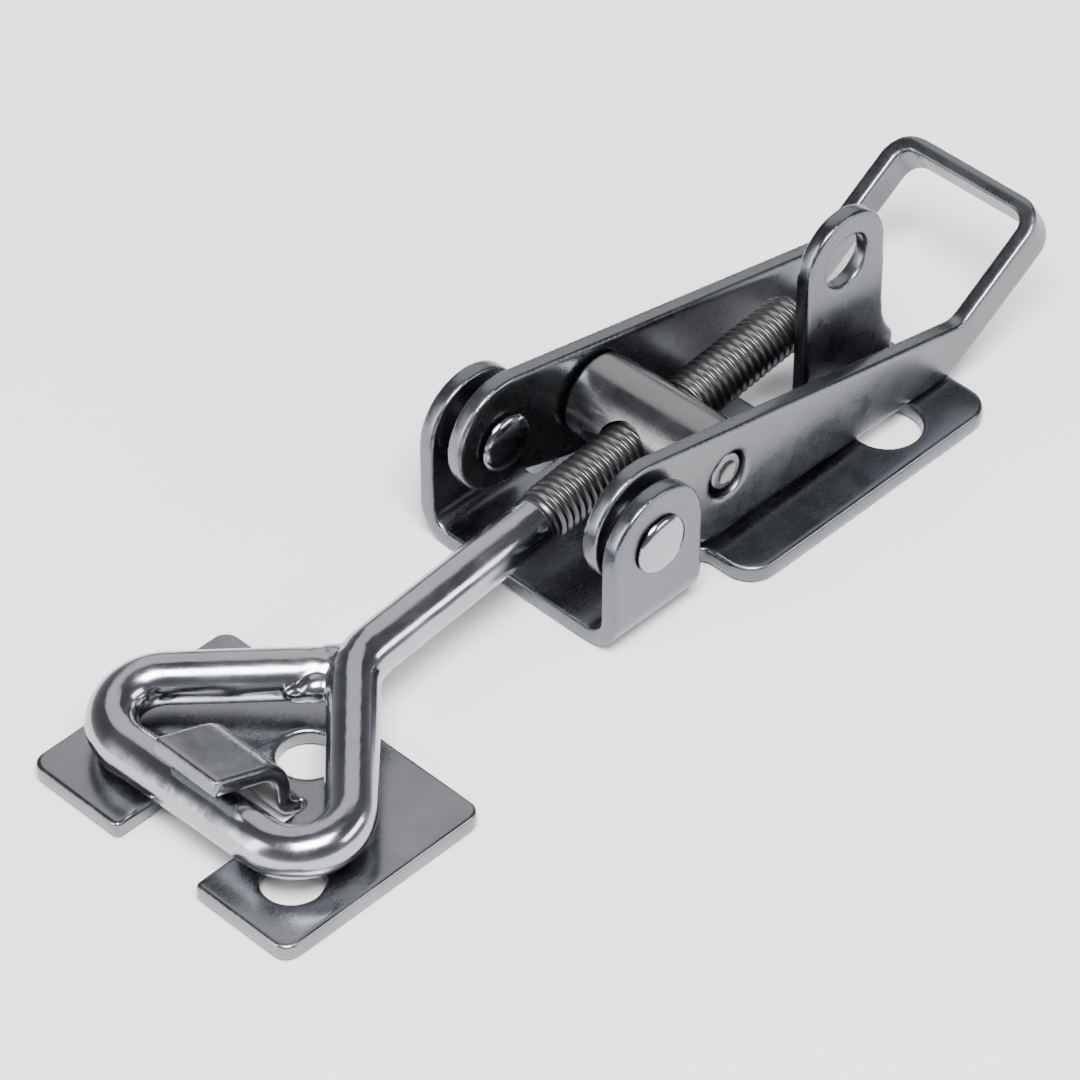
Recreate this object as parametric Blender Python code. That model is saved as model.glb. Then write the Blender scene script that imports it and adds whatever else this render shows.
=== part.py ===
"""Adjustable toggle bolt latch, padlockable, in stainless steel.

Metres, +Z up.  The origin is on the base's underside, straight below the
handle's pivot axis and on the base's centre line.  Both mounting faces lie on
z = 0 and +X runs from the keeper towards the handle's bail.  Dimensions below
are in millimetres, and x is counted from the keeper's front edge.
Pieces: base_plate, pivot rivets, spacer washers, handle, trunnion,
hook_bolt (rod bent to a loop and welded) and keeper.
"""
import bpy
import bmesh
from math import sin, cos, tan, radians, pi, hypot, atan2
from mathutils import Vector, Matrix

for ob in list(bpy.data.objects):
    bpy.data.objects.remove(ob, do_unlink=True)

MM = 0.001

# ---------------------------------------------------------------- dimensions
T = 2.6                      # sheet thickness of base and handle
GAP = 0.3                    # running gap between neighbouring pieces

# base
BX0, BX1 = 67.9, 140.0       # front and rear edge of the floor
WING_X0 = 90.2               # front edge of the mounting wings
EAR_X0, EAR_X1 = 68.1, 84.7  # ear width
NECK_Y = 13.2                # half width of the floor between the ears
WING_Y = 22.35               # half width over the wings
EAR_Y = 18.2                 # outer face of the ears
EAR_R = 5.2                  # outer bend radius, floor to ear
WIN_X0, WIN_X1 = 116.3, 135.6  # window the padlock tab was lanced from
TAB_Y0, TAB_Y1 = -7.3, -4.7  # padlock tab faces
TAB_X0, TAB_X1 = 116.7, 132.1
TAB_CX, TAB_CZ = 124.4, 28.3
TAB_HOLE_D = 8.2
HOLE_D = 10.2                # mounting holes
NEAR_HOLE = (126.2, -14.2)
FAR_HOLE = (103.2, 14.6)

# pivot
PX, PZ = 76.3, 15.5
RIVET_SHANK, RIVET_HEAD, HEAD_H = 5.2, 9.2, 1.35

# handle
HY = 13.75                   # outer face of the side plates, from the handle's centre
HC = -0.65                   # the handle sits a little to one side between the ears
BAIL_ANG = radians(31.5)     # rise of the finger bail
NOSE_X, NOSE_Z, NOSE_R = 76.9, 16.4, 8.8   # rounded front end of the side plates
TR_HOLE_D = 7.2

# trunnion
TX, TZ = 93.7, 13.8
BARREL_D, BARREL_HALF = 12.6, 10.7
STUB_D, STUB_Y = 5.7, 13.1
YAW = radians(1.5)           # the bolt lies a little askew in its loose holes

# bolt
THREAD_D, SHANK_D = 7.9, 7.1
PITCH_DN = radians(3.6)
TAIL, THREAD_START, APEX = 28.8, -23.4, -57.7
FRONT_BAR = -85.9
LEG_NEAR, LEG_FAR = radians(43.3), radians(46.8)
FAR_LOW = -0.9               # the far leg meets the shaft a little below its centre
LOOP_R = 6.6
LOOP_DROP = radians(3.5)

# keeper
KY = -3.1                    # keeper centre beside the base's centre line
K_L, K_W, K_T = 34.8, 48.0, 2.5
NOTCH = 7.1
NOTCH_X = 20.0
TONGUE = 5.95
K_HOLES = ((10.6, 15.2), (9.3, -15.4), (26.0, -0.8))
K_HOLE_D = 8.4


# ------------------------------------------------------------------- helpers
def material(name, rgb, rough):
    m = bpy.data.materials.new(name)
    m.use_nodes = True
    b = m.node_tree.nodes["Principled BSDF"]
    b.inputs["Base Color"].default_value = (*rgb, 1)
    b.inputs["Metallic"].default_value = 1.0
    b.inputs["Roughness"].default_value = rough
    return m


STEEL = {
    "base_plate": ((0.47, 0.47, 0.50), 0.30), "handle": ((0.48, 0.48, 0.51), 0.30),
    "pivot_rivet": ((0.55, 0.55, 0.57), 0.22), "spacer_washer": ((0.50, 0.50, 0.52), 0.32),
    "trunnion": ((0.46, 0.46, 0.48), 0.28), "hook_bolt": ((0.56, 0.56, 0.58), 0.22),
    "keeper": ((0.46, 0.46, 0.49), 0.32)}


def mesh_object(name, bm, origin=(0, 0, 0), cutter=False):
    """Object from a bmesh in mm, its own origin at `origin` (mm)."""
    bmesh.ops.recalc_face_normals(bm, faces=bm.faces)
    o = Vector(origin)
    if tuple(o) == (0, 0, 0):
        o = Vector((PX, 0, 0))
    for v in bm.verts:
        v.co = (v.co - o) * MM
    me = bpy.data.meshes.new(name)
    bm.to_mesh(me)
    bm.free()
    ob = bpy.data.objects.new(name, me)
    ob.location = (o - Vector((PX, 0, 0))) * MM
    bpy.context.scene.collection.objects.link(ob)
    if cutter:
        ob.hide_render = True
        ob.display_type = 'WIRE'
    else:
        key = [k for k in STEEL if name.startswith(k)][0]
        me.materials.append(material("steel_" + name, *STEEL[key]))
    return ob


def arc(cx, cy, r, a0, a1, n):
    return [(cx + r * cos(a0 + (a1 - a0) * i / n), cy + r * sin(a0 + (a1 - a0) * i / n)) for i in range(n + 1)]


def rounded(pts, radii, n=5):
    """Closed 2-D outline with each corner filleted."""
    out = []
    m = len(pts)
    for i in range(m):
        p, a, b = Vector(pts[i]), Vector(pts[i - 1]), Vector(pts[(i + 1) % m])
        r = radii[i] if isinstance(radii, (list, tuple)) else radii
        if r <= 0:
            out.append(tuple(p))
            continue
        u, w = (a - p).normalized(), (b - p).normalized()
        half = u.angle(w) / 2
        d = r / tan(half)
        c = p + (u + w).normalized() * (r / sin(half))
        s, e = p + u * d, p + w * d
        a0 = atan2(s.y - c.y, s.x - c.x)
        a1 = atan2(e.y - c.y, e.x - c.x)
        while a1 - a0 > pi:
            a1 -= 2 * pi
        while a1 - a0 < -pi:
            a1 += 2 * pi
        out += arc(c.x, c.y, r, a0, a1, n)
    return out


def prism(outline, lo, hi, plane):
    """Extrude a 2-D outline; plane 'xy' along z, 'xz' along y, 'yz' along x."""
    put = {"xy": lambda a, b, h: (a, b, h), "xz": lambda a, b, h: (a, h, b),
           "yz": lambda a, b, h: (h, a, b)}[plane]
    bm = bmesh.new()
    f = bm.faces.new([bm.verts.new(put(a, b, lo)) for a, b in outline])
    ext = bmesh.ops.extrude_face_region(bm, geom=[f])
    d = Vector(put(0, 0, hi)) - Vector(put(0, 0, lo))
    bmesh.ops.translate(bm, vec=d, verts=[v for v in ext["geom"] if isinstance(v, bmesh.types.BMVert)])
    return bm


def revolve(profile, centre, axis, seg=40):
    """Turn (radius, height) points about an axis through `centre`."""
    bm = bmesh.new()
    z = Vector(axis).normalized()
    x = z.orthogonal().normalized()
    y = z.cross(x)
    c = Vector(centre)
    rings = []
    for r, h in profile:
        if r < 1e-6:
            rings.append([bm.verts.new(c + z * h)])
        else:
            rings.append([bm.verts.new(c + z * h + (x * cos(2 * pi * k / seg) + y * sin(2 * pi * k / seg)) * r)
                          for k in range(seg)])
    for a, b in zip(rings, rings[1:]):
        for k in range(seg):
            j = (k + 1) % seg
            q = [a[k % len(a)], a[j % len(a)], b[j % len(b)], b[k % len(b)]]
            bm.faces.new(list(dict.fromkeys(q)))
    for ring in (rings[0], rings[-1]):
        if len(ring) > 1:
            bm.faces.new(ring)
    return bm


def sweep(path, radius, seg=20):
    """Round rod of varying radius along a path of points."""
    bm = bmesh.new()
    pts = [Vector(p) for p in path]
    tans = []
    for i in range(len(pts)):
        a, b = pts[max(i - 1, 0)], pts[min(i + 1, len(pts) - 1)]
        tans.append((b - a).normalized())
    n = tans[0].orthogonal().normalized()
    rings = []
    for i, p in enumerate(pts):
        n = (n - tans[i] * n.dot(tans[i])).normalized()
        b = tans[i].cross(n)
        r = radius[i]
        rings.append([bm.verts.new(p + (n * cos(2 * pi * k / seg) + b * sin(2 * pi * k / seg)) * r) for k in range(seg)])
    for a, b in zip(rings, rings[1:]):
        for k in range(seg):
            j = (k + 1) % seg
            bm.faces.new((a[k], a[j], b[j], b[k]))
    bm.faces.new(rings[0])
    bm.faces.new(rings[-1])
    return bm


def boolean(ob, cutter, op='DIFFERENCE'):
    m = ob.modifiers.new(cutter.name, 'BOOLEAN')
    m.operation = op
    m.object = cutter
    m.solver = 'EXACT'


def cut(ob, bm, name, op='DIFFERENCE'):
    boolean(ob, mesh_object("cut_" + name, bm, cutter=True), op)


def hole(ob, name, centre, axis, d, depth, seg=40):
    a = Vector(axis).normalized()
    c = Vector(centre)
    cut(ob, revolve([(0, -depth / 2), (d / 2, -depth / 2), (d / 2, depth / 2), (0, depth / 2)], c, a, seg), name)


def smooth(ob, angle=32):
    ob.data.shade_smooth()
    ob.data.set_sharp_from_angle(angle=radians(angle))


# ---------------------------------------------------------------- base plate
floor = rounded([(BX0, -NECK_Y), (WING_X0, -NECK_Y), (WING_X0, -WING_Y), (BX1, -WING_Y),
                 (BX1, WING_Y), (WIN_X1, WING_Y), (WIN_X1, TAB_Y1), (WIN_X0, TAB_Y1), (WIN_X0, WING_Y),
                 (WING_X0, WING_Y), (WING_X0, NECK_Y), (BX0, NECK_Y)],
                [0, 1.0, 4.5, 4.5, 4.5, 1.2, 1.0, 1.0, 1.2, 4.5, 1.0, 0])
base = mesh_object("base_plate", prism(floor, 0, T, "xy"))
for side in (-1, 1):
    ri = EAR_R - T
    cy, cz = EAR_Y - EAR_R, EAR_R
    sec = ([(NECK_Y - 2.2, 0.0)] + arc(cy, cz, EAR_R, -pi / 2, 0, 8) + [(EAR_Y, 30.0), (EAR_Y - T, 30.0)]
           + arc(cy, cz, ri, 0, -pi / 2, 8) + [(NECK_Y - 2.2, T)])
    sec = [(side * y, z) for y, z in sec]
    ear = mesh_object("cut_ear%d" % side, prism(sec, EAR_X0, EAR_X1, "yz"), cutter=True)
    xc, r = (EAR_X0 + EAR_X1) / 2, (EAR_X1 - EAR_X0) / 2
    outline = ([(EAR_X0, -1), (EAR_X1, -1)] + arc(xc, PZ, r, 0, pi, 24))
    lo, hi = sorted((side * 8, side * 22))
    shape = mesh_object("cut_earshape%d" % side, prism(outline, lo, hi, "xz"), cutter=True)
    boolean(ear, shape, 'INTERSECT')
    boolean(base, ear, 'UNION')
    hole(base, "earhole%d" % side, (PX, side * (EAR_Y - T / 2), PZ), (0, 1, 0), RIVET_SHANK + 2 * GAP, 8)
# padlock tab: bent up along its near side, flared root, full-round top
rb = 4.6
ty = TAB_Y1 - rb
sec = ([(ty - 2.5, 0.0)] + arc(ty, rb, rb, -pi / 2, 0, 8) + [(TAB_Y1, 40.0), (TAB_Y0, 40.0)]
       + arc(ty, rb, rb - T, 0, -pi / 2, 8) + [(ty - 2.5, T)])
tab = mesh_object("cut_tab", prism(sec, TAB_X0 - 3, TAB_X1 + 5, "yz"), cutter=True)
tr = (TAB_X1 - TAB_X0) / 2
tcx = (TAB_X1 + TAB_X0) / 2
FLARE_R, FLARE_Z, FLARE_W = 10.8, 16.8, 2.6
steps = [FLARE_W * (1 - i / 7) for i in range(8)]
flare = [(TAB_X1 + 0.35 + w, FLARE_Z - (FLARE_R ** 2 - (FLARE_R - w) ** 2) ** 0.5) for w in steps]
outl = [(TAB_X0, -1), (TAB_X1 + 0.35 + FLARE_W, -1)] + flare + arc(tcx, TAB_CZ, tr, 0, pi, 24)
boolean(tab, mesh_object("cut_tabshape", prism(outl, -20, 0, "xz"), cutter=True), 'INTERSECT')
boolean(base, tab, 'UNION')
hole(base, "tabhole", (TAB_CX, (TAB_Y0 + TAB_Y1) / 2, TAB_CZ), (0, 1, 0), TAB_HOLE_D, 8)
hole(base, "nearhole", (*NEAR_HOLE, T / 2), (0, 0, 1), HOLE_D, 8)
hole(base, "farhole", (*FAR_HOLE, T / 2), (0, 0, 1), HOLE_D, 8)

# ----------------------------------------------------- rivets and their washers
for side, tag in ((-1, "near"), (1, "far")):
    plate = HY + side * HC       # outer face of this side plate
    out, inn = EAR_Y + 0.05, plate - T - 0.25
    dome = [(RIVET_HEAD / 2 * cos(a), HEAD_H * (0.35 + 0.65 * sin(a))) for a in [pi / 2 * i / 7 for i in range(8)]]
    prof = ([(0.0, inn - HEAD_H)] + [(max(r, 0.0), inn - h) for r, h in reversed(dome[:-1])] + [(RIVET_HEAD / 2, inn)]
            + [(RIVET_SHANK / 2, inn), (RIVET_SHANK / 2, out), (RIVET_HEAD / 2, out)]
            + [(r, out + h) for r, h in dome[:-1]] + [(0.0, out + HEAD_H)])
    ob = mesh_object("pivot_rivet_" + tag, revolve(prof, (PX, 0, PZ), (0, side, 0), 32), origin=(PX, side * EAR_Y, PZ))
    smooth(ob)
    w0 = plate + GAP
    w1 = w0 + 0.6
    bm = revolve([(RIVET_SHANK / 2 + GAP, w0), (5.6, w0), (5.6, w1), (RIVET_SHANK / 2 + GAP, w1)], (PX, 0, PZ), (0, side, 0), 32)
    # an annulus: replace the two end caps by a bore wall
    caps = [f for f in bm.faces if len(f.verts) > 4]
    bmesh.ops.delete(bm, geom=caps, context='FACES_ONLY')
    edges = [e for e in bm.edges if e.is_boundary]
    bmesh.ops.bridge_loops(bm, edges=edges)
    ob = mesh_object("spacer_washer_" + tag, bm, origin=(PX, side * w0, PZ))
    smooth(ob)

# -------------------------------------------------------------------- handle
# side profile: rounded front, tapered plate, bail rising at the rear
KX, KZ = 141.7, 10.9         # where the top edge turns up into the bail
TOPX, TOPZ = 88.0, 22.95
LX, LZ = 139.6, 2.95         # where the lower edge turns up
LENB = 26.1                  # length of the bail along its slope
ub = Vector((cos(BAIL_ANG), sin(BAIL_ANG)))
nb = Vector((-sin(BAIL_ANG), cos(BAIL_ANG)))
slope = (KZ - TOPZ) / (KX - TOPX)
fc = Vector((PX, PZ))
low0 = Vector((TX - 4.0, 4.3))
lowdir = (Vector((LX, LZ)) - low0).normalized()
e1 = Vector((LX, LZ)) + ub * LENB
wid = (Vector((KX, KZ)) - Vector((LX, LZ))).dot(nb) + 0.3
e2 = e1 + nb * wid
top_ang = pi / 2 + atan2(slope, 1)
front = arc(NOSE_X, NOSE_Z, NOSE_R, top_ang, radians(285), 26)
prof = [tuple(low0), (LX, LZ), tuple(e1), tuple(e2), (KX - 0.2, KZ)] + front
prof = rounded(prof, [6.0, 3.0, 1.2, 1.2, 3.0] + [0] * len(front), 6)
handle = mesh_object("handle", prism(prof, HC - HY - 5, HC + HY + 5, "xz"), origin=(PX, HC, PZ))
# strip section: a U seen square to the bail, rounded at the cross bar
c0 = fc
uend = (e1 - c0).dot(ub)
ro, ri = 5.0, 2.4


def ustrip(y, end, r, back):
    pts = [(-back, -y), (end, -y), (end, y), (-back, y)]
    return rounded(pts, [0, r, r, 0], 7)


def slab(outline, lo, hi):
    bm = bmesh.new()
    c = Vector((c0.x, HC, c0.y))
    U, N, Y = Vector((ub.x, 0, ub.y)), Vector((nb.x, 0, nb.y)), Vector((0, 1, 0))
    f = bm.faces.new([bm.verts.new(c + U * a + Y * b + N * lo) for a, b in outline])
    ext = bmesh.ops.extrude_face_region(bm, geom=[f])
    bmesh.ops.translate(bm, vec=N * (hi - lo), verts=[v for v in ext["geom"] if isinstance(v, bmesh.types.BMVert)])
    return bm


cut(handle, slab(ustrip(HY + 0.0, uend, ro, 40), -70, 40), "handle_outer", 'INTERSECT')
cut(handle, slab(ustrip(HY - T, uend - T, ri, 45), -75, 45), "handle_inner")
for side in (-1, 1):
    hole(handle, "hpivot%d" % side, (PX, HC + side * (HY - T / 2), PZ), (0, 1, 0), RIVET_SHANK + 2 * GAP, 6, 32)
    hole(handle, "htrun%d" % side, (TX, HC + side * (HY - T / 2), TZ), (0, 1, 0), TR_HOLE_D, 6, 32)

# ------------------------------------------------------------------ trunnion
axis = Vector((-sin(YAW), cos(YAW), 0))
tc = Vector((TX, HC, TZ))
ch = 0.5
half = [(STUB_D / 2, BARREL_HALF), (STUB_D / 2, STUB_Y - 0.35), (STUB_D / 2 - 0.35, STUB_Y)]
prof = ([(0, -STUB_Y)] + [(r, -h) for r, h in reversed(half)] + [(BARREL_D / 2 - ch, -BARREL_HALF), (BARREL_D / 2, -BARREL_HALF + ch)]
        + [(BARREL_D / 2, BARREL_HALF - ch), (BARREL_D / 2 - ch, BARREL_HALF)] + half + [(0, STUB_Y)])
trunnion = mesh_object("trunnion", revolve(prof, tc, axis, 48), origin=tc)

# ------------------------------------------------------------------ hook bolt
# local frame: p back along the bolt, q across, r up; the pitch is downhill to the loop
P = Vector((cos(YAW) * cos(PITCH_DN), sin(YAW) * cos(PITCH_DN), sin(PITCH_DN)))
Q = Vector((-sin(YAW), cos(YAW), 0))
R = P.cross(Q)


def bolt_point(p, q, r=0.0):
    """The loop's plane dips a little more than the shaft does."""
    h = -54.0
    if p < h:
        d, rr = p - h, r
        p, r = h + d * cos(LOOP_DROP) + rr * sin(LOOP_DROP), d * sin(LOOP_DROP) + rr * cos(LOOP_DROP)
    return tc + P * p + Q * q + R * r


hole(trunnion, "boltbore", tc, P, THREAD_D + 2 * GAP, 30, 40)
smooth(trunnion)

rs = SHANK_D / 2
cx = FRONT_BAR + LOOP_R       # corner centres: LOOP_R from the bar and from the leg
cy_near = -((APEX - cx) * tan(LEG_NEAR) - LOOP_R / cos(LEG_NEAR))
cy_far = (APEX - cx) * tan(LEG_FAR) - LOOP_R / cos(LEG_FAR)
path = [(TAIL, 0, 0), (TAIL - 1.0, 0, 0), (THREAD_START, 0, 0), (THREAD_START - 1.4, 0, 0), (-40.0, 0, 0)]
rad = [THREAD_D / 2 - 1.0, THREAD_D / 2, THREAD_D / 2, rs, rs]
BEND = 9.0                    # the shaft bends into the near leg
bx = APEX + BEND * tan(LEG_NEAR / 2)
for i in range(9):
    a = pi / 2 + LEG_NEAR * i / 8
    path.append((bx + BEND * cos(a), -BEND + BEND * sin(a), 0))
a_near, a_far = -(pi / 2 - LEG_NEAR), pi / 2 - LEG_FAR
for i in range(13):
    a = a_near + (-pi - a_near) * i / 12
    path.append((cx + LOOP_R * cos(a), cy_near + LOOP_R * sin(a), 0))
for i in range(13):
    a = pi + (a_far - pi) * i / 12
    path.append((cx + LOOP_R * cos(a), cy_far + LOOP_R * sin(a), 0))
END = 4.9                     # the far leg stops just short of the shaft
path.append((APEX - END * cos(LEG_FAR), END * sin(LEG_FAR), FAR_LOW))
rad += [rs] * (len(path) - len(rad))
bolt = mesh_object("hook_bolt", sweep([bolt_point(*p) for p in path], rad, 20), origin=tc)
# weld bead closing the loop at the apex
bead = bmesh.new()
bmesh.ops.create_icosphere(bead, subdivisions=3, radius=1.0)
wc = bolt_point(APEX - 1.6, 2.3, -0.8)
bmesh.ops.transform(bead, verts=bead.verts, matrix=Matrix.Translation(wc) @ Matrix.Rotation(YAW + radians(-40), 4, 'Z')
                    @ Matrix.Diagonal((4.0, 3.3, 3.3, 1)))
cut(bolt, bead, "weldbead", 'UNION')
smooth(bolt)

# -------------------------------------------------------------------- keeper
plate = rounded([(0, KY - K_W / 2), (K_L, KY - K_W / 2), (K_L, KY + K_W / 2), (0, KY + K_W / 2),
                 (0, KY + NOTCH), (NOTCH_X, KY + NOTCH), (NOTCH_X, KY - NOTCH), (0, KY - NOTCH)],
                [2.2, 2.2, 2.2, 2.2, 0.8, 1.4, 1.4, 0.8])
keeper = mesh_object("keeper", prism(plate, 0, K_T, "xy"))
# tongue: up at the notch's rear, over and forward, tip turned up a little
h = K_T / 2
cl = [(26.0, h), (20.3, h)]
cl += [(20.2 + 3.1 * cos(a), h + 3.1 + 3.1 * sin(a)) for a in [-pi / 2 - pi / 2 * i / 7 for i in range(8)]][1:]
cl += [(12.1 + 5.0 * cos(a), 6.0 + 5.0 * sin(a)) for a in [radians(68) * i / 8 for i in range(9)]]
last = Vector(cl[-1])
cl.append(tuple(last + Vector((-cos(radians(22)), sin(radians(22)))) * 8.9))


def band(line, t):
    left, right = [], []
    for i, p in enumerate(line):
        a, b = Vector(line[max(i - 1, 0)]), Vector(line[min(i + 1, len(line) - 1)])
        d = (b - a).normalized()
        if 0 < i < len(line) - 1:
            d1, d2 = (Vector(p) - a).normalized(), (b - Vector(p)).normalized()
            k = 1 / max(cos(d1.angle(d2) / 2), 0.5)
        else:
            k = 1
        n = Vector((-d.y, d.x)) * (t / 2 * k)
        left.append(tuple(Vector(p) + n))
        right.append(tuple(Vector(p) - n))
    return left + right[::-1]


cut(keeper, prism(band(cl, K_T), KY - TONGUE, KY + TONGUE, "xz"), "tongue", 'UNION')
for i, (x, y) in enumerate(K_HOLES):
    hole(keeper, "khole%d" % i, (x, KY + y, K_T / 2), (0, 0, 1), K_HOLE_D, 8)
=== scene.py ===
"""Photographic scene of the adjustable toggle bolt latch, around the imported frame.

Metres, row frame: the origin is on the base's underside below the handle's
pivot axis.  Sizes in the builders below are in millimetres with x counted from
the keeper's front edge, as in the part's own drawing, and PX is taken off when
a mesh is made.
"""
import bpy
import bmesh
from math import sin, cos, tan, radians, pi, atan2, sqrt, exp, floor
from mathutils import Vector, Matrix, noise


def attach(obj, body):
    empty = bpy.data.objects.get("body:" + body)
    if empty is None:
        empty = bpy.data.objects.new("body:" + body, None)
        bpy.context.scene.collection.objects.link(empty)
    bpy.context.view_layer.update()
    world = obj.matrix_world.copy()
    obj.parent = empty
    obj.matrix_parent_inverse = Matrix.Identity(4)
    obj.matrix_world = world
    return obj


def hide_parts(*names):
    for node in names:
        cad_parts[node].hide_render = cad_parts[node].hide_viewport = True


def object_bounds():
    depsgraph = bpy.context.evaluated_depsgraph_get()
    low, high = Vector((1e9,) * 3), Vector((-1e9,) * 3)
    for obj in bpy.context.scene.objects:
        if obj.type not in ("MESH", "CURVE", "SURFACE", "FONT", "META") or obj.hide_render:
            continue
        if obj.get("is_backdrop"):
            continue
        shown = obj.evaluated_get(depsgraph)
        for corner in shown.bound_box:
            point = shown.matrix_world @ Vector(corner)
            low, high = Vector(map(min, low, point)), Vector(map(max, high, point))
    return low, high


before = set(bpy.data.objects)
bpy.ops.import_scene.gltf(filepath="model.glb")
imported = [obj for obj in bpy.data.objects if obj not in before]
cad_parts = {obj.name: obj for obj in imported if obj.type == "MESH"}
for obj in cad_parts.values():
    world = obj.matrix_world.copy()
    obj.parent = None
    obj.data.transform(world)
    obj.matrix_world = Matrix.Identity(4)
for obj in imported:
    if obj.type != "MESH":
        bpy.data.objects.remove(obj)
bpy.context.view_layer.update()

MM = 0.001

# ---------------------------------------------------------------- dimensions
T = 2.6
BX0, BX1 = 67.9, 140.0
WING_X0 = 90.2
EAR_X0, EAR_X1 = 67.9, 84.7
NECK_Y, WING_Y, EAR_Y, EAR_R = 13.2, 22.35, 18.2, 5.2
WIN_X0, WIN_X1 = 116.3, 135.6
TAB_Y0, TAB_Y1 = -7.3, -4.7
TAB_X0, TAB_X1 = 116.7, 132.1
TAB_CX, TAB_CZ = 124.4, 28.3
TAB_HOLE_D, HOLE_D = 8.2, 10.2
NEAR_HOLE, FAR_HOLE = (126.2, -14.2), (103.2, 14.6)
PX, PZ = 76.3, 15.5
RIVET_SHANK, RIVET_HEAD, HEAD_H = 5.2, 9.2, 1.35
GAP = .3
HY, HC = 13.75, -0.65
BAIL_ANG = radians(31.5)
NOSE_X, NOSE_Z, NOSE_R = 76.9, 16.4, 8.8
TR_HOLE_D = 7.2
TX, TZ = 93.7, 13.8
BARREL_D, BARREL_HALF = 12.6, 10.7
STUB_D, STUB_Y = 5.7, 13.1
YAW = radians(1.5)
THREAD_D, SHANK_D = 7.9, 7.1
PITCH_DN = radians(3.6)
TAIL, THREAD_START, APEX = 28.8, -23.4, -57.7
FRONT_BAR = -85.9
LEG_NEAR, LEG_FAR = radians(43.3), radians(46.8)
FAR_LOW = -0.9
LOOP_R = 6.6
LOOP_DROP = radians(3.5)
KY = -3.1
K_L, K_W, K_T = 34.8, 48.0, 2.5
NOTCH, NOTCH_X, TONGUE = 7.1, 20.0, 5.95
K_HOLES = ((10.6, 15.2), (9.3, -15.4), (26.0, -0.8))
K_HOLE_D = 8.4


# --------------------------------------------------------------- mesh helpers
def mesh_object(name, bm, cutter=False):
    bmesh.ops.recalc_face_normals(bm, faces=bm.faces)
    for v in bm.verts:
        v.co = (v.co - Vector((PX, 0, 0))) * MM
    me = bpy.data.meshes.new(name)
    bm.to_mesh(me)
    bm.free()
    ob = bpy.data.objects.new(name, me)
    bpy.context.scene.collection.objects.link(ob)
    if cutter:
        ob.hide_render = True
    return ob


def arc(cx, cy, r, a0, a1, n):
    return [(cx + r * cos(a0 + (a1 - a0) * i / n), cy + r * sin(a0 + (a1 - a0) * i / n)) for i in range(n + 1)]


def rounded(pts, radii, n=8):
    out = []
    m = len(pts)
    for i in range(m):
        p, a, b = Vector(pts[i]), Vector(pts[i - 1]), Vector(pts[(i + 1) % m])
        r = radii[i] if isinstance(radii, (list, tuple)) else radii
        if r <= 0:
            out.append(tuple(p))
            continue
        u, w = (a - p).normalized(), (b - p).normalized()
        half = u.angle(w) / 2
        d = r / tan(half)
        c = p + (u + w).normalized() * (r / sin(half))
        s, e = p + u * d, p + w * d
        a0 = atan2(s.y - c.y, s.x - c.x)
        a1 = atan2(e.y - c.y, e.x - c.x)
        while a1 - a0 > pi:
            a1 -= 2 * pi
        while a1 - a0 < -pi:
            a1 += 2 * pi
        out += arc(c.x, c.y, r, a0, a1, n)
    return out


def prism(outline, lo, hi, plane):
    put = {"xy": lambda a, b, h: (a, b, h), "xz": lambda a, b, h: (a, h, b),
           "yz": lambda a, b, h: (h, a, b)}[plane]
    bm = bmesh.new()
    f = bm.faces.new([bm.verts.new(put(a, b, lo)) for a, b in outline])
    ext = bmesh.ops.extrude_face_region(bm, geom=[f])
    d = Vector(put(0, 0, hi)) - Vector(put(0, 0, lo))
    bmesh.ops.translate(bm, vec=d, verts=[v for v in ext["geom"] if isinstance(v, bmesh.types.BMVert)])
    return bm


def revolve(profile, centre, axis, seg=64):
    bm = bmesh.new()
    z = Vector(axis).normalized()
    x = z.orthogonal().normalized()
    y = z.cross(x)
    c = Vector(centre)
    rings = []
    for r, h in profile:
        if r < 1e-6:
            rings.append([bm.verts.new(c + z * h)])
        else:
            rings.append([bm.verts.new(c + z * h + (x * cos(2 * pi * k / seg) + y * sin(2 * pi * k / seg)) * r)
                          for k in range(seg)])
    for a, b in zip(rings, rings[1:]):
        for k in range(seg):
            j = (k + 1) % seg
            q = [a[k % len(a)], a[j % len(a)], b[j % len(b)], b[k % len(b)]]
            bm.faces.new(list(dict.fromkeys(q)))
    for ring in (rings[0], rings[-1]):
        if len(ring) > 1:
            bm.faces.new(ring)
    return bm


def boolean(ob, cutter, op='DIFFERENCE'):
    m = ob.modifiers.new(cutter.name, 'BOOLEAN')
    m.operation = op
    m.object = cutter
    m.solver = 'EXACT'


CUTTERS = []


def cutter(name, bm):
    o = mesh_object("cut_" + name, bm, cutter=True)
    CUTTERS.append(o)
    return o


def hole(ob, name, centre, axis, d, depth, seg=40):
    a = Vector(axis).normalized()
    boolean(ob, cutter(name, revolve([(0, -depth / 2), (d / 2, -depth / 2), (d / 2, depth / 2), (0, depth / 2)],
                                     Vector(centre), a, seg)))


def bake(ob):
    """Apply the modifiers into the mesh itself."""
    dg = bpy.context.evaluated_depsgraph_get()
    dg.update()
    me = bpy.data.meshes.new_from_object(ob.evaluated_get(dg), depsgraph=dg)
    old = ob.data
    ob.modifiers.clear()
    ob.data = me
    bpy.data.meshes.remove(old)
    return ob


def clear_cutters():
    for c in CUTTERS:
        bpy.data.objects.remove(c, do_unlink=True)
    CUTTERS.clear()


def tidy(ob, merge=0.06, ang=0.8):
    """Weld slivers and merge coplanar faces."""
    bm = bmesh.new()
    bm.from_mesh(ob.data)
    bmesh.ops.remove_doubles(bm, verts=bm.verts, dist=merge * MM)
    bmesh.ops.dissolve_limit(bm, angle_limit=radians(ang), verts=bm.verts, edges=bm.edges,
                             use_dissolve_boundaries=False)
    bmesh.ops.recalc_face_normals(bm, faces=bm.faces)
    bm.to_mesh(ob.data)
    bm.free()


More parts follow.
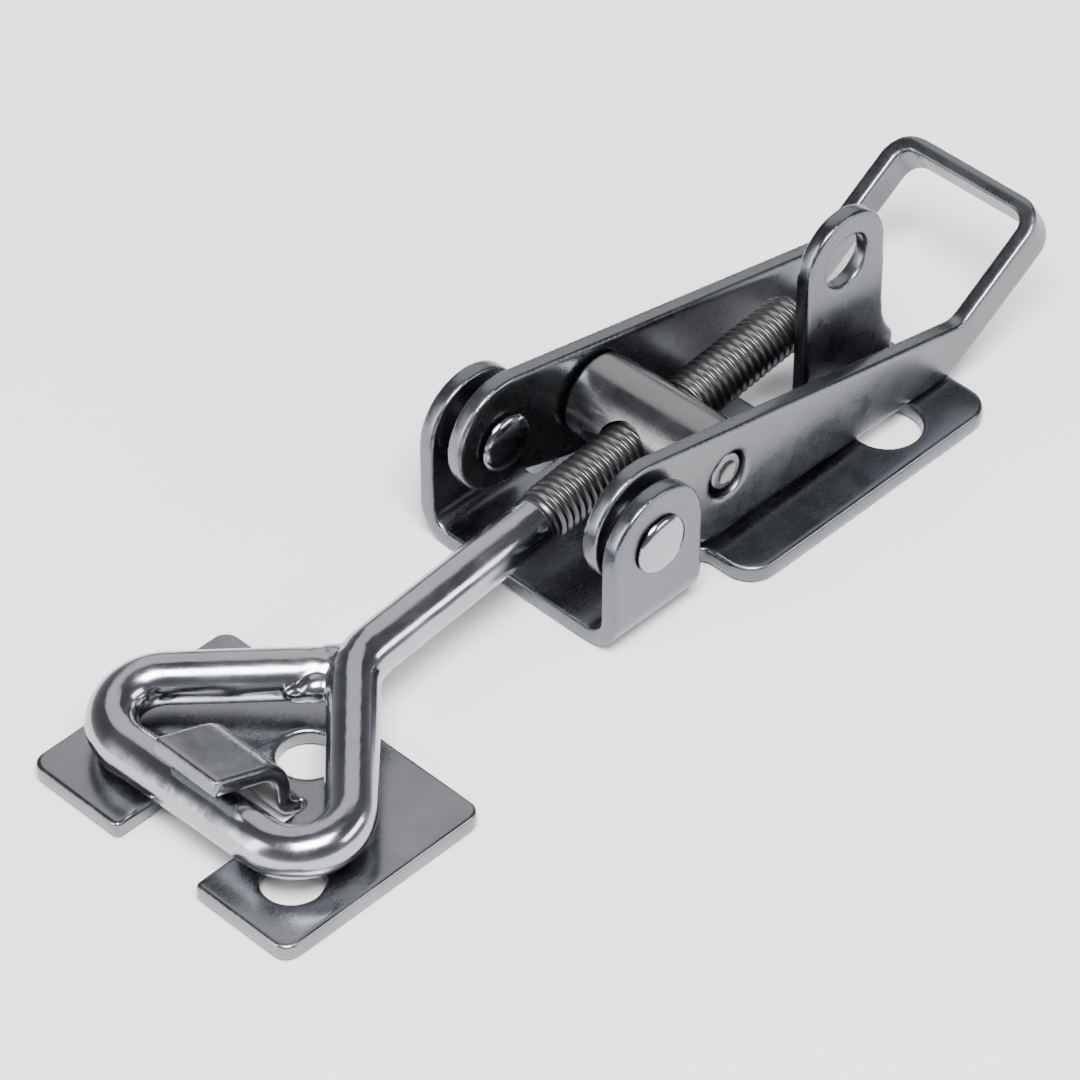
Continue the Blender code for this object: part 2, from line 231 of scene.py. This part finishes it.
def tumble(ob, voxel=0.26, turns=9):
    """Tumbled stampings: an even dense skin over the solid, relaxed so that every edge rolls over."""
    m = ob.modifiers.new("skin", 'REMESH')
    m.mode = 'VOXEL'
    m.voxel_size = voxel * MM
    m.adaptivity = 0.0
    m.use_smooth_shade = True
    m = ob.modifiers.new("relax", 'SMOOTH')
    m.factor = 0.5
    m.iterations = turns
    bake(ob)
    ob.data.shade_smooth()


def normals(ob, ang=40):
    ob.data.shade_smooth()
    ob.data.set_sharp_from_angle(angle=radians(ang))
    m = ob.modifiers.new("wn", 'WEIGHTED_NORMAL')
    m.keep_sharp = True
    m.weight = 60
    bake(ob)


# ------------------------------------------------------------------ materials
def steel(name, base, rough, seed=0.0, tint=(0, 0, 0), blotch=0.5, streak=None, bump=0.25, worn=0.25, scale=1.0, extra_crease_shade=0.0):
    """Tumbled stainless: cloudy polish, fine handling scratches, tarnish blotches, painted shade darkening creases and
    hollows, brighter worn edges.
    """
    m = bpy.data.materials.new(name)
    m.use_nodes = True
    nt = m.node_tree
    N, L = nt.nodes, nt.links
    bsdf = N["Principled BSDF"]
    bsdf.inputs["Metallic"].default_value = 1.0
    tc = N.new("ShaderNodeTexCoord")
    mp = N.new("ShaderNodeMapping")
    mp.inputs["Location"].default_value = (seed, seed * 1.7, seed * 0.6)
    L.new(tc.outputs["Object"], mp.inputs["Vector"])

    def tex(sc, detail=4, rough_=0.55, dist=0.0, stretch=None):
        n = N.new("ShaderNodeTexNoise")
        n.inputs["Scale"].default_value = sc * scale
        n.inputs["Detail"].default_value = detail
        n.inputs["Roughness"].default_value = rough_
        n.inputs["Distortion"].default_value = dist
        if stretch:
            s = N.new("ShaderNodeMapping")
            s.inputs["Scale"].default_value = stretch
            L.new(mp.outputs["Vector"], s.inputs["Vector"])
            L.new(s.outputs["Vector"], n.inputs["Vector"])
        else:
            L.new(mp.outputs["Vector"], n.inputs["Vector"])
        return n.outputs["Fac"]

    def ramp(src, stops):
        r = N.new("ShaderNodeValToRGB")
        r.color_ramp.interpolation = 'EASE'
        el = r.color_ramp.elements
        el[0].position, el[0].color = stops[0][0], (*[stops[0][1]] * 3, 1)
        el[1].position, el[1].color = stops[-1][0], (*[stops[-1][1]] * 3, 1)
        for p, v in stops[1:-1]:
            e = el.new(p)
            e.color = (v, v, v, 1)
        L.new(src, r.inputs["Fac"])
        return r.outputs["Color"]

    def math(op, a, b, clamp=False):
        n = N.new("ShaderNodeMath")
        n.operation = op
        n.use_clamp = clamp
        for i, v in enumerate((a, b)):
            if hasattr(v, "default_value") or hasattr(v, "links"):
                L.new(v, n.inputs[i])
            else:
                n.inputs[i].default_value = v
        return n.outputs[0]

    cloud = tex(120, 5, 0.6, 0.3)
    broad = tex(38, 3, 0.5, 0.6)
    fine = tex(900, 4, 0.7)
    scratch = tex(420, 3, 0.65, 0.2, streak or (1.0, 6.0, 1.0))
    spots = tex(300, 2, 0.4, 0.5)

    # worn, brighter rims
    geo = N.new("ShaderNodeNewGeometry")
    rim = ramp(geo.outputs["Pointiness"], [(0.545, 0.0), (0.68, 1.0)])
    # crease mask: concave spots and hollows, used below for painted shade
    crease = ramp(geo.outputs["Pointiness"], [(0.30, 1.0), (0.43, 0.0)])

    # colour: cloudy tone, tarnish patches and specks, and painted shade in creases
    mixc = N.new("ShaderNodeMix")
    mixc.data_type = 'RGBA'
    b = Vector(base)
    lo = b * (1 - 0.13 * blotch)
    hi = b * (1 + 0.09 * blotch)
    mixc.inputs["A"].default_value = (lo.x + tint[0] * .5, lo.y + tint[1] * .5, lo.z + tint[2] * .5, 1)
    mixc.inputs["B"].default_value = (hi.x, hi.y, hi.z, 1)
    L.new(ramp(cloud, [(0.32, 0.0), (0.66, 1.0)]), mixc.inputs["Factor"])
    tarnish_and_crease_shade = N.new("ShaderNodeMix")
    tarnish_and_crease_shade.data_type = 'RGBA'
    tarnish_and_crease_shade.inputs["B"].default_value = (b.x * .62, b.y * .60, b.z * .58, 1)
    L.new(mixc.outputs["Result"], tarnish_and_crease_shade.inputs["A"])
    patches = math('MULTIPLY', ramp(broad, [(0.48, 0.0), (0.75, 1.0)]), 0.22 * blotch)
    specks = math('MULTIPLY', ramp(spots, [(0.60, 0.0), (0.85, 1.0)]), 0.10 * blotch)
    # painted shade: concave creases and hollows are darkened toward the tarnish colour, standing in for the shade that
    # falls there
    painted_crease_shade = math('MULTIPLY', crease, 0.45 + extra_crease_shade)
    amount = math('ADD', math('ADD', patches, specks), painted_crease_shade, True)
    L.new(amount, tarnish_and_crease_shade.inputs["Factor"])
    wear = N.new("ShaderNodeMix")
    wear.data_type = 'RGBA'
    wear.inputs["B"].default_value = (min(b.x * 1.45, .92), min(b.y * 1.45, .92), min(b.z * 1.45, .93), 1)
    L.new(tarnish_and_crease_shade.outputs["Result"], wear.inputs["A"])
    L.new(math('MULTIPLY', rim, worn), wear.inputs["Factor"])
    L.new(wear.outputs["Result"], bsdf.inputs["Base Color"])

    # roughness
    r1 = math('MULTIPLY', ramp(cloud, [(0.30, 0.0), (0.70, 1.0)]), 0.10)
    r2 = math('MULTIPLY', ramp(scratch, [(0.35, 0.0), (0.75, 1.0)]), 0.05)
    r3 = math('MULTIPLY', patches, 0.30)
    r4 = math('MULTIPLY', rim, -0.10 * worn * 2)
    rr = math('ADD', math('ADD', r1, r2), math('ADD', r3, r4))
    L.new(math('ADD', rr, rough - 0.08, True), bsdf.inputs["Roughness"])

    # micro relief
    b1 = N.new("ShaderNodeBump")
    b1.inputs["Strength"].default_value = bump
    b1.inputs["Distance"].default_value = 0.00006
    hsum = math('ADD', math('MULTIPLY', fine, 0.35), math('MULTIPLY', scratch, 0.22))
    hsum = math('ADD', hsum, math('MULTIPLY', cloud, 0.5))
    L.new(hsum, b1.inputs["Height"])
    L.new(b1.outputs["Normal"], bsdf.inputs["Normal"])
    return m


M_BASE = steel("satin stamped steel base", (0.150, 0.155, 0.173), 0.29, 0.11, blotch=0.45, bump=0.20)
M_HANDLE = steel("satin stamped steel handle", (0.165, 0.171, 0.181), 0.29, 0.37, blotch=0.4, bump=0.20)
M_KEEPER = steel("satin stamped steel keeper", (0.212, 0.218, 0.228), 0.26, 0.73, blotch=0.75, bump=0.22)
M_RIVET = steel("polished rivet steel", (0.33, 0.335, 0.36), 0.17, 0.19, blotch=0.5, bump=0.16)
M_WASHER = steel("washer steel", (0.27, 0.275, 0.29), 0.27, 0.29, blotch=0.5)
M_BAR = steel("turned bar steel", (0.215, 0.22, 0.228), 0.25, 0.53, blotch=0.5, streak=(6.0, 1.0, 6.0), bump=0.25)
M_ROD = steel("polished rod steel", (0.37, 0.376, 0.403), 0.19, 0.61, blotch=0.6, bump=0.20, worn=0.15)
# the extra crease value darkens the thread roots further: painted shade in the grooves
M_THREAD = steel("rolled thread steel", (0.105, 0.107, 0.109), 0.36, 0.83, blotch=0.5, bump=0.12, worn=0.2, extra_crease_shade=0.2)


def finish_piece(ob, mat, body, nodes):
    ob.data.materials.clear()
    for m in (mat if isinstance(mat, (list, tuple)) else [mat]):
        ob.data.materials.append(m)
    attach(ob, body)
    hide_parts(*nodes)
    return ob


# ----------------------------------------------------------------- base plate
floor_ol = rounded([(BX0, -NECK_Y), (WING_X0, -NECK_Y), (WING_X0, -WING_Y), (BX1, -WING_Y),
                    (BX1, WING_Y), (WIN_X1, WING_Y), (WIN_X1, TAB_Y1), (WIN_X0, TAB_Y1), (WIN_X0, WING_Y),
                    (WING_X0, WING_Y), (WING_X0, NECK_Y), (BX0, NECK_Y)],
                   [0, 1.4, 4.5, 4.5, 4.5, 1.2, 1.0, 1.0, 1.2, 4.5, 1.4, 0])
base = mesh_object("latch_base", prism(floor_ol, 0, T, "xy"))
for side in (-1, 1):
    ri = EAR_R - T
    cy, cz = EAR_Y - EAR_R, EAR_R
    sec = ([(NECK_Y - 2.2, 0.0)] + arc(cy, cz, EAR_R, -pi / 2, 0, 12) + [(EAR_Y, 30.0), (EAR_Y - T, 30.0)]
           + arc(cy, cz, ri, 0, -pi / 2, 12) + [(NECK_Y - 2.2, T)])
    sec = [(side * y, z) for y, z in sec]
    ear = cutter("ear%d" % side, prism(sec, EAR_X0, EAR_X1, "yz"))
    xc, r = (EAR_X0 + EAR_X1) / 2, (EAR_X1 - EAR_X0) / 2
    outline = ([(EAR_X0, -1), (EAR_X1, -1)] + arc(xc, PZ, r, 0, pi, 32))
    lo, hi = sorted((side * 8, side * 22))
    boolean(ear, cutter("earshape%d" % side, prism(outline, lo, hi, "xz")), 'INTERSECT')
    boolean(base, ear, 'UNION')
    hole(base, "earhole%d" % side, (PX, side * (EAR_Y - T / 2), PZ), (0, 1, 0), RIVET_SHANK + 2 * GAP, 8)
rb = 4.6
ty = TAB_Y1 - rb
sec = ([(ty - 2.5, 0.0)] + arc(ty, rb, rb, -pi / 2, 0, 12) + [(TAB_Y1, 40.0), (TAB_Y0, 40.0)]
       + arc(ty, rb, rb - T, 0, -pi / 2, 12) + [(ty - 2.5, T)])
tab = cutter("tab", prism(sec, TAB_X0 - 3, TAB_X1 + 5, "yz"))
tr = (TAB_X1 - TAB_X0) / 2
tcx = (TAB_X1 + TAB_X0) / 2
FLARE_R, FLARE_Z, FLARE_W = 10.8, 16.8, 2.6
steps = [FLARE_W * (1 - i / 10) for i in range(11)]
flare = [(TAB_X1 + 0.35 + w, FLARE_Z - (FLARE_R ** 2 - (FLARE_R - w) ** 2) ** 0.5) for w in steps]
outl = [(TAB_X0, -1), (TAB_X1 + 0.35 + FLARE_W, -1)] + flare + arc(tcx, TAB_CZ, tr, 0, pi, 36)
boolean(tab, cutter("tabshape", prism(outl, -20, 0, "xz")), 'INTERSECT')
boolean(base, tab, 'UNION')
hole(base, "tabhole", (TAB_CX, (TAB_Y0 + TAB_Y1) / 2, TAB_CZ), (0, 1, 0), TAB_HOLE_D, 8)
hole(base, "nearhole", (*NEAR_HOLE, T / 2), (0, 0, 1), HOLE_D, 8)
hole(base, "farhole", (*FAR_HOLE, T / 2), (0, 0, 1), HOLE_D, 8)
bake(base)
clear_cutters()
tumble(base, 0.27, 26)
finish_piece(base, M_BASE, "base", ["base_plate"])

# --------------------------------------------------------- rivets and washers
for side, tag in ((-1, "near"), (1, "far")):
    plate = HY + side * HC
    out, inn = EAR_Y + 0.05, plate - T - 0.25

    HR = 4.3

    def dome():
        n = 18
        pts = []
        for i in range(n + 1):
            a = pi / 2 * i / n
            # domed head with a rolled shoulder over a small undercut
            pts.append((HR * cos(a) ** 0.78, 1.5 * (0.16 + 0.84 * sin(a))))
        pts[0] = (HR, 1.5 * 0.16)
        pts[-1] = (0.0, 1.5)
        return pts

    d = dome()
    prof = ([(0.0, inn - 1.5)] + [(max(r, 0.0), inn - h) for r, h in reversed(d[:-1])] + [(HR - 0.35, inn - 0.05), (RIVET_SHANK / 2, inn - 0.05)]
            + [(RIVET_SHANK / 2, inn), (RIVET_SHANK / 2, out), (HR - 0.35, out + 0.05)]
            + [(r, out + h) for r, h in d[:-1]] + [(0.0, out + 1.5)])
    ob = mesh_object("rivet_" + tag, revolve(prof, (PX, 0, PZ), (0, side, 0), 64))
    normals(ob, 50)
    finish_piece(ob, M_RIVET, "base", ["pivot_rivet_" + tag])
    w0 = plate + GAP
    w1 = w0 + 0.6
    ri_, ro_ = RIVET_SHANK / 2 + GAP, 5.6
    q = 0.14
    ring = [(ri_, w0 + q), (ri_ + q, w0), (ro_ - q, w0), (ro_ - q * .3, w0 + q * .3), (ro_, w0 + q), (ro_, w1 - q),
            (ro_ - q * .3, w1 - q * .3), (ro_ - q, w1), (ri_ + q, w1), (ri_, w1 - q)]
    bm = revolve(ring, (PX, 0, PZ), (0, side, 0), 64)
    caps = [f for f in bm.faces if len(f.verts) > 4]
    bmesh.ops.delete(bm, geom=caps, context='FACES_ONLY')
    bmesh.ops.bridge_loops(bm, edges=[e for e in bm.edges if e.is_boundary])
    ob = mesh_object("washer_" + tag, bm)
    normals(ob, 50)
    finish_piece(ob, M_WASHER, "base", ["spacer_washer_" + tag])

# --------------------------------------------------------------------- handle
KX, KZ = 141.7, 10.9
TOPX, TOPZ = 88.0, 22.95
LX, LZ = 139.6, 2.95
LENB = 26.1
ub = Vector((cos(BAIL_ANG), sin(BAIL_ANG)))
nb = Vector((-sin(BAIL_ANG), cos(BAIL_ANG)))
slope = (KZ - TOPZ) / (KX - TOPX)
fc = Vector((PX, PZ))
low0 = Vector((TX - 4.0, 4.3))
e1 = Vector((LX, LZ)) + ub * LENB
wid = (Vector((KX, KZ)) - Vector((LX, LZ))).dot(nb) + 0.3
e2 = e1 + nb * wid
top_ang = pi / 2 + atan2(slope, 1)
front = arc(NOSE_X, NOSE_Z, NOSE_R, top_ang, radians(285), 34)
prof = [tuple(low0), (LX, LZ), tuple(e1), tuple(e2), (KX - 0.2, KZ)] + front
prof = rounded(prof, [6.0, 3.0, 1.2, 1.2, 3.0] + [0] * len(front), 8)
handle = mesh_object("latch_handle", prism(prof, HC - HY - 5, HC + HY + 5, "xz"))
c0 = fc
uend = (e1 - c0).dot(ub)


def ustrip(y, end, r, back):
    return rounded([(-back, -y), (end, -y), (end, y), (-back, y)], [0, r, r, 0], 10)


def slab(outline, lo, hi):
    bm = bmesh.new()
    c = Vector((c0.x, HC, c0.y))
    U, N_, Y = Vector((ub.x, 0, ub.y)), Vector((nb.x, 0, nb.y)), Vector((0, 1, 0))
    f = bm.faces.new([bm.verts.new(c + U * a + Y * b_ + N_ * lo) for a, b_ in outline])
    ext = bmesh.ops.extrude_face_region(bm, geom=[f])
    bmesh.ops.translate(bm, vec=N_ * (hi - lo), verts=[v for v in ext["geom"] if isinstance(v, bmesh.types.BMVert)])
    return bm


boolean(handle, cutter("handle_outer", slab(ustrip(HY, uend, 5.0, 40), -70, 40)), 'INTERSECT')
boolean(handle, cutter("handle_inner", slab(ustrip(HY - T, uend - T, 2.4, 45), -75, 45)))
for side in (-1, 1):
    hole(handle, "hpivot%d" % side, (PX, HC + side * (HY - T / 2), PZ), (0, 1, 0), RIVET_SHANK + 2 * GAP, 6, 40)
    hole(handle, "htrun%d" % side, (TX, HC + side * (HY - T / 2), TZ), (0, 1, 0), TR_HOLE_D, 6, 40)
bake(handle)
clear_cutters()
tumble(handle, 0.26, 22)
finish_piece(handle, M_HANDLE, "handle_body", ["handle"])

# ------------------------------------------------------------------- trunnion
axis = Vector((-sin(YAW), cos(YAW), 0))
tc = Vector((TX, HC, TZ))
P = Vector((cos(YAW) * cos(PITCH_DN), sin(YAW) * cos(PITCH_DN), sin(PITCH_DN)))
Q = Vector((-sin(YAW), cos(YAW), 0))
R = P.cross(Q)
half = [(STUB_D / 2, BARREL_HALF), (STUB_D / 2, STUB_Y - 0.45), (STUB_D / 2 - 0.12, STUB_Y - 0.15),
        (STUB_D / 2 - 0.40, STUB_Y), (1.85, STUB_Y), (1.62, STUB_Y - 0.05), (1.3, STUB_Y - 0.18), (0.85, STUB_Y - 0.27), (0.4, STUB_Y - 0.31), (0, STUB_Y - 0.32)]
bh = BARREL_HALF
rB = BARREL_D / 2
body = [(rB - 0.6, bh), (rB - 0.28, bh - 0.06), (rB - 0.08, bh - 0.25), (rB, bh - 0.6)]
prof = ([(r, -h) for r, h in reversed(half)] + [(r, -h) for r, h in body]
        + [(r, h) for r, h in reversed(body)] + half)
trun = mesh_object("trunnion_barrel", revolve(prof, tc, axis, 96))
BORE = THREAD_D + 2 * GAP
boolean(trun, cutter("bore", revolve([(0, -15), (BORE / 2, -15), (BORE / 2, 15), (0, 15)], tc, P, 56)))
bake(trun)
clear_cutters()
tidy(trun, 0.02, 0.3)
normals(trun, 50)
finish_piece(trun, M_BAR, "trunnion_body", ["trunnion"])


# ------------------------------------------------------------------ hook bolt
def bolt_point(p, q, r=0.0):
    h = -54.0
    if p < h:
        d, rr = p - h, r
        p, r = h + d * cos(LOOP_DROP) + rr * sin(LOOP_DROP), d * sin(LOOP_DROP) + rr * cos(LOOP_DROP)
    return tc + P * p + Q * q + R * r


SEG = 64
PITCH = 1.25
rt, rs = THREAD_D / 2, SHANK_D / 2
DEPTH = 0.62


def thread_radius(p, th):
    """Rolled M8 thread: rounded crest, V flanks, radiused root, running out at both ends."""
    ph = (p / PITCH - th / (2 * pi)) % 1.0
    w = (0.5 - 0.5 * cos(2 * pi * ph)) ** 0.85
    crest = rt - 0.02
    root = rt - DEPTH
    full = root + (crest - root) * w
    # run-out into the shank
    k = min(max((p - THREAD_START) / 1.9, 0.0), 1.0)
    r = (rs - 0.02) * (1 - k) + full * k if full < rs else rs * (1 - k) + full * k
    # rounded, bevelled tail
    e = TAIL - p
    if e < 1.7:
        lim = rt - 1.15 * (1 - sqrt(max(1 - ((1.7 - e) / 1.7) ** 2, 0.0))) - 0.25 * (1.7 - e) / 1.7
        r = min(r, lim)
    return r


def ring_grid(bm, rings, closed_caps=True):
    for a, b in zip(rings, rings[1:]):
        n = len(a)
        for k in range(n):
            j = (k + 1) % n
            bm.faces.new((a[k], a[j], b[j], b[k]))
    return bm


# threaded end: an own mesh with a real helix
bm = bmesh.new()
rings = []
dp = 0.10
n = int((TAIL - (THREAD_START - 0.3)) / dp)
ps = [TAIL - i * dp for i in range(n + 1)] + [THREAD_START - 0.3]
tail_c = bm.verts.new(tc + P * (TAIL + 0.0))
for p in ps:
    ring = []
    for k in range(SEG):
        th = 2 * pi * k / SEG
        r = thread_radius(p, th)
        ring.append(bm.verts.new(tc + P * p + (Q * cos(th) + R * sin(th)) * r))
    rings.append(ring)
for k in range(SEG):
    bm.faces.new((tail_c, rings[0][(k + 1) % SEG], rings[0][k]))
ring_grid(bm, rings)
bm.faces.new(rings[-1])

thr = mesh_object("hook_bolt_thread", bm)
thr.data.shade_smooth()
finish_piece(thr, M_THREAD, "bolt_body", ["hook_bolt"])

# shank, loop and far leg: one bent rod, closed by a weld that flows into both legs
cx = FRONT_BAR + LOOP_R
cy_near = -((APEX - cx) * tan(LEG_NEAR) - LOOP_R / cos(LEG_NEAR))
cy_far = (APEX - cx) * tan(LEG_FAR) - LOOP_R / cos(LEG_FAR)
BEND = 9.0
bx = APEX + BEND * tan(LEG_NEAR / 2)
path = [(THREAD_START + 0.35, 0, 0), (THREAD_START, 0, 0), (THREAD_START - 1.4, 0, 0)]
path += [(-27 - 1.5 * i, 0, 0) for i in range(0, 17) if -27 - 1.5 * i > bx + 0.5]
for i in range(25):
    a = pi / 2 + LEG_NEAR * i / 24
    path.append((bx + BEND * cos(a), -BEND + BEND * sin(a), 0))
a_near, a_far = -(pi / 2 - LEG_NEAR), pi / 2 - LEG_FAR
corner = [(cx + LOOP_R * cos(a_near + (-pi - a_near) * i / 30), cy_near + LOOP_R * sin(a_near + (-pi - a_near) * i / 30), 0)
          for i in range(31)]
last = path[-1]
path += [(last[0] + (corner[0][0] - last[0]) * i / 12, last[1] + (corner[0][1] - last[1]) * i / 12, 0) for i in range(1, 12)]
path += corner
far = [(cx + LOOP_R * cos(pi + (a_far - pi) * i / 30), cy_far + LOOP_R * sin(pi + (a_far - pi) * i / 30), 0) for i in range(31)]
last = path[-1]
path += [(last[0], last[1] + (far[0][1] - last[1]) * i / 8, 0) for i in range(1, 8)]
path += far
last = path[-1]
END = 1.8
endp = (APEX - END * cos(LEG_FAR), END * sin(LEG_FAR), FAR_LOW)
path += [tuple(last[j] + (endp[j] - last[j]) * i / 14 for j in range(3)) for i in range(1, 15)]
pts = [bolt_point(*q) for q in path]
clean = [pts[0]]
for p_ in pts[1:]:
    if (p_ - clean[-1]).length > 0.2:
        clean.append(p_)
pts = clean
tans = [(pts[min(i + 1, len(pts) - 1)] - pts[max(i - 1, 0)]).normalized() for i in range(len(pts))]
bm = bmesh.new()
nrm = R.copy()
rings = []
for i, p_ in enumerate(pts):
    nrm = (nrm - tans[i] * nrm.dot(tans[i])).normalized()
    bi = tans[i].cross(nrm)
    r_ = rs if i < len(pts) - 2 else rs * (0.97 if i == len(pts) - 2 else 0.9)
    rings.append([bm.verts.new(p_ + (nrm * cos(2 * pi * k / 72) + bi * sin(2 * pi * k / 72)) * r_) for k in range(72)])
ring_grid(bm, rings)
bm.faces.new(rings[0])
bm.faces.new(rings[-1])


def lump(c, r, rx=(1, 1, 1), rot=0.0):
    """One puddle of weld metal."""
    bmesh.ops.create_icosphere(bm, subdivisions=4, radius=1.0,
                               matrix=Matrix.Translation(c) @ Matrix.Rotation(rot, 4, 'Z')
                               @ Matrix.Diagonal((r * rx[0], r * rx[1], r * rx[2], 1)))


wc = bolt_point(APEX - 1.6, 2.3, -0.6)
lump(wc, 1.0, (4.3, 3.35, 3.2), YAW + radians(-40))
lump(bolt_point(APEX - 5.0, 1.5, -0.2), 2.3, (1.35, 1.0, 0.95), radians(-15))
lump(bolt_point(APEX - 7.2, 2.6, -0.5), 1.5, (1.5, 0.9, 1.0), radians(-42))
lump(bolt_point(APEX - 5.6, 3.6, 1.5), 1.2, (1.6, 0.8, 0.8), radians(-45))
bmesh.ops.recalc_face_normals(bm, faces=bm.faces)
rod = mesh_object("hook_bolt_rod", bm)
tumble(rod, 0.24, 7)
wcm = wc - Vector((PX, 0, 0))
nv = len(rod.data.vertices)
co_ = [0.0] * (nv * 3)
no_ = [0.0] * (nv * 3)
rod.data.vertices.foreach_get("co", co_)
rod.data.vertices.foreach_get("normal", no_)
for i in range(nv):
    c_ = Vector(co_[3 * i:3 * i + 3]) / MM
    n_ = Vector(no_[3 * i:3 * i + 3])
    # a bent rod is never quite even, and the weld is lumpy
    d_ = noise.noise(c_ * 0.11) * 0.045 + noise.noise(c_ * 0.38) * 0.012 - 0.02
    k_ = exp(-((c_ - wcm).length / 3.6) ** 2)
    d_ += k_ * (noise.noise(c_ * 0.5 + Vector((7.0, 2.0, 1.0))) * 0.5 + noise.noise(c_ * 1.1) * 0.10)
    co_[3 * i:3 * i + 3] = (c_ + n_ * d_) * MM
rod.data.vertices.foreach_set("co", co_)
rod.data.update()
finish_piece(rod, M_ROD, "bolt_body", ["hook_bolt"])

# --------------------------------------------------------------------- keeper
plate = rounded([(0, KY - K_W / 2), (K_L, KY - K_W / 2), (K_L, KY + K_W / 2), (0, KY + K_W / 2),
                 (0, KY + NOTCH), (NOTCH_X, KY + NOTCH), (NOTCH_X, KY - NOTCH), (0, KY - NOTCH)],
                [2.2, 2.2, 2.2, 2.2, 0.8, 1.4, 1.4, 0.8])
keeper = mesh_object("keeper_plate", prism(plate, 0, K_T, "xy"))
h = K_T / 2
cl = [(26.0, h), (20.3, h)]
cl += [(20.2 + 3.1 * cos(a), h + 3.1 + 3.1 * sin(a)) for a in [-pi / 2 - pi / 2 * i / 10 for i in range(11)]][1:]
cl += [(12.1 + 5.0 * cos(a), 6.0 + 5.0 * sin(a)) for a in [radians(68) * i / 12 for i in range(13)]]
last = Vector(cl[-1])
cl.append(tuple(last + Vector((-cos(radians(22)), sin(radians(22)))) * 8.9))


def band(line, t):
    left, right = [], []
    for i, p in enumerate(line):
        a, b_ = Vector(line[max(i - 1, 0)]), Vector(line[min(i + 1, len(line) - 1)])
        d = (b_ - a).normalized()
        if 0 < i < len(line) - 1:
            d1, d2 = (Vector(p) - a).normalized(), (b_ - Vector(p)).normalized()
            k = 1 / max(cos(d1.angle(d2) / 2), 0.5)
        else:
            k = 1
        n_ = Vector((-d.y, d.x)) * (t / 2 * k)
        left.append(tuple(Vector(p) + n_))
        right.append(tuple(Vector(p) - n_))
    return left + right[::-1]


boolean(keeper, cutter("tongue", prism(band(cl, K_T), KY - TONGUE, KY + TONGUE, "xz")), 'UNION')
for i, (x, y) in enumerate(K_HOLES):
    hole(keeper, "khole%d" % i, (x, KY + y, K_T / 2), (0, 0, 1), K_HOLE_D, 8, 40)
bake(keeper)
clear_cutters()
tumble(keeper, 0.26, 22)
finish_piece(keeper, M_KEEPER, "keeper_body", ["keeper"])

# ---------------------------------------------------------- floor and studio
def plane(name, centre, size, rot=(0, 0, 0)):
    bm = bmesh.new()
    bmesh.ops.create_grid(bm, x_segments=2, y_segments=2, size=0.5)
    me = bpy.data.meshes.new(name)
    bm.to_mesh(me)
    bm.free()
    o = bpy.data.objects.new(name, me)
    o.location, o.rotation_euler = centre, rot
    o.scale = (size[0], size[1], 1)
    bpy.context.scene.collection.objects.link(o)
    o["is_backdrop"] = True
    return o


fl = plane("floor", (0, 0, -0.0003), (6, 6))
mf = bpy.data.materials.new("pale floor")
mf.use_nodes = True
nt = mf.node_tree
b = nt.nodes["Principled BSDF"]
b.inputs["Roughness"].default_value = 0.75
b.inputs["Specular IOR Level"].default_value = 0.15
nz = nt.nodes.new("ShaderNodeTexNoise")
nz.inputs["Scale"].default_value = 3.0
mx = nt.nodes.new("ShaderNodeMix")
mx.data_type = 'RGBA'
mx.inputs["A"].default_value = (0.92, 0.92, 0.92, 1)
mx.inputs["B"].default_value = (0.95, 0.95, 0.95, 1)
nt.links.new(nz.outputs["Fac"], mx.inputs["Factor"])
nt.links.new(mx.outputs["Result"], b.inputs["Base Color"])
fl.data.materials.append(mf)


def area(name, loc, target, size, power, col=(1, 1, 1)):
    ld = bpy.data.lights.new(name, 'AREA')
    ld.shape = 'RECTANGLE'
    ld.size, ld.size_y = size
    ld.energy = power
    ld.color = col
    o = bpy.data.objects.new(name, ld)
    o.location = loc
    o.rotation_euler = (Vector(target) - Vector(loc)).to_track_quat('-Z', 'Y').to_euler()
    bpy.context.scene.collection.objects.link(o)
    return o


area("key", (-0.30, -0.36, 1.00), (0, 0, 0), (0.60, 0.45), 32)
area("back_card", (0.66, 0.62, 0.80), (0, 0, 0), (1.0, 1.2), 4.4)
area("left_strip", (-0.95, 0.35, 0.42), (0, 0, 0), (0.25, 0.9), 6.5)
area("right_strip", (0.55, -0.95, 0.55), (0, 0, 0), (0.8, 0.3), 6.5)

w = bpy.data.worlds.new("studio")
bpy.context.scene.world = w
w.use_nodes = True
wn = w.node_tree.nodes
wl = w.node_tree.links
bg = wn["Background"]
gtc = wn.new("ShaderNodeTexCoord")
sep = wn.new("ShaderNodeSeparateXYZ")
wl.new(gtc.outputs["Generated"], sep.inputs["Vector"])
wr = wn.new("ShaderNodeValToRGB")
e = wr.color_ramp.elements
e[0].position, e[0].color = 0.0, (0.60, 0.61, 0.63, 1)
e[1].position, e[1].color = 0.55, (0.15, 0.154, 0.162, 1)
el = e.new(0.22)
el.color = (0.29, 0.295, 0.305, 1)
wl.new(sep.outputs["Z"], wr.inputs["Fac"])
wl.new(wr.outputs["Color"], bg.inputs["Color"])
bg.inputs["Strength"].default_value = 1.0

# --------------------------------------------------------------------- camera
cam = bpy.data.cameras.new("camera")
cam.lens = 173.653
cam.sensor_width = 36
cam.clip_start = 0.01
cam.clip_end = 20
co = bpy.data.objects.new("camera", cam)
right, up, back = (0.69968, -0.71446, 0), (0.48398, 0.47397, 0.73562), (-0.52557, -0.51469, 0.67741)
rot = Matrix((right, up, back)).transposed()
co.matrix_world = Matrix.Translation((-0.368153, -0.356906, 0.476452)) @ rot.to_4x4()
bpy.context.scene.collection.objects.link(co)
bpy.context.scene.camera = co

bpy.context.view_layer.update()
lo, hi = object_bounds()
